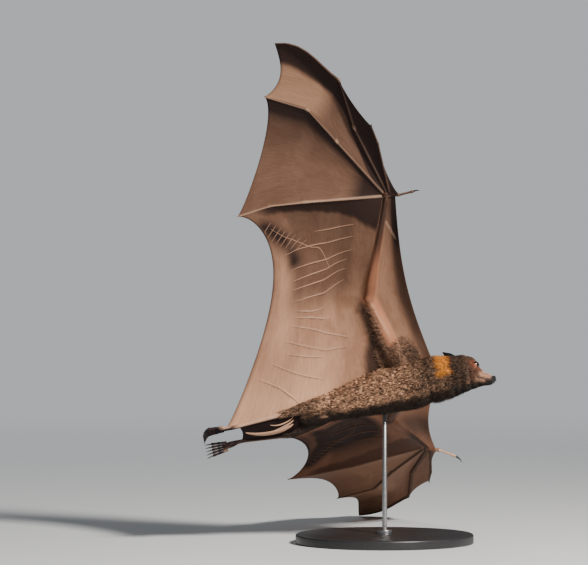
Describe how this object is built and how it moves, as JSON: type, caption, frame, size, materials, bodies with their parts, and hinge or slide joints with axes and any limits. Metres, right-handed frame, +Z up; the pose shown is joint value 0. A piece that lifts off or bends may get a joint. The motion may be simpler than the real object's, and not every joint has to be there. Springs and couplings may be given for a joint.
{
  "type": "flying fox bat",
  "caption": "Still, life-size museum model of a flying fox bat in banked flight, wings spread and legs trailing, held by one rod on a round display foot.",
  "frame": {"origin": "on the underside of the stand's foot, straight below the bat's own reference point in its chest", "axes": "+Z up, +X the way the bat flies, +Y to its lowered left wing"},
  "size_m": [0.4275, 0.7259, 0.7278],
  "materials": {
    "fur_body": "dark grizzled brown fur",
    "fur_collar": "orange fur",
    "fur_head": "short brown fur",
    "fur_leg": "short dark fur",
    "fur_arm": "thin brown fur over muscle",
    "ear_skin": "bare black skin",
    "eye": "wet dark brown eye",
    "bare_skin": "bare brown skin over bone",
    "foot_skin": "bare dark skin",
    "wing_skin": "thin brown wing skin",
    "claw": "dark horn",
    "stand_base": "satin black",
    "stand_rod": "brushed"
  },
  "bodies": {
    "root": {"trunk": "fur_body", "neck": "fur_collar", "head": "fur_head", "ear_l": "ear_skin", "ear_r": "ear_skin", "eye_l": "eye", "eye_r": "eye", "thigh_l": "fur_leg", "thigh_r": "fur_leg", "shin_l": "bare_skin", "shin_r": "bare_skin", "foot_l": "foot_skin", "foot_r": "foot_skin", "toe_1_l": "claw", "toe_1_r": "claw", "toe_2_l": "claw", "toe_2_r": "claw", "toe_3_l": "claw", "toe_3_r": "claw", "toe_4_l": "claw", "toe_4_r": "claw", "toe_5_l": "claw", "toe_5_r": "claw", "upper_arm_l": "fur_arm", "upper_arm_r": "fur_arm", "forearm_l": "bare_skin", "forearm_r": "bare_skin", "thumb_l": "bare_skin", "thumb_r": "bare_skin", "thumb_claw_l": "claw", "thumb_claw_r": "claw", "finger_2_l": "bare_skin", "finger_2_r": "bare_skin", "finger_3_l": "bare_skin", "finger_3_r": "bare_skin", "finger_4_l": "bare_skin", "finger_4_r": "bare_skin", "finger_5_l": "bare_skin", "finger_5_r": "bare_skin", "finger_2_claw_l": "claw", "finger_2_claw_r": "claw", "web_arm_l": "wing_skin", "web_arm_r": "wing_skin", "web_front_l": "wing_skin", "web_front_r": "wing_skin", "web_1_2_l": "wing_skin", "web_1_2_r": "wing_skin", "web_2_3_l": "wing_skin", "web_2_3_r": "wing_skin", "web_3_4_l": "wing_skin", "web_3_4_r": "wing_skin", "web_4_5_l": "wing_skin", "web_4_5_r": "wing_skin", "web_tail": "wing_skin", "stand_base": "stand_base", "stand_collar": "stand_rod", "stand_rod": "stand_rod"}
  },
  "joints": []
}
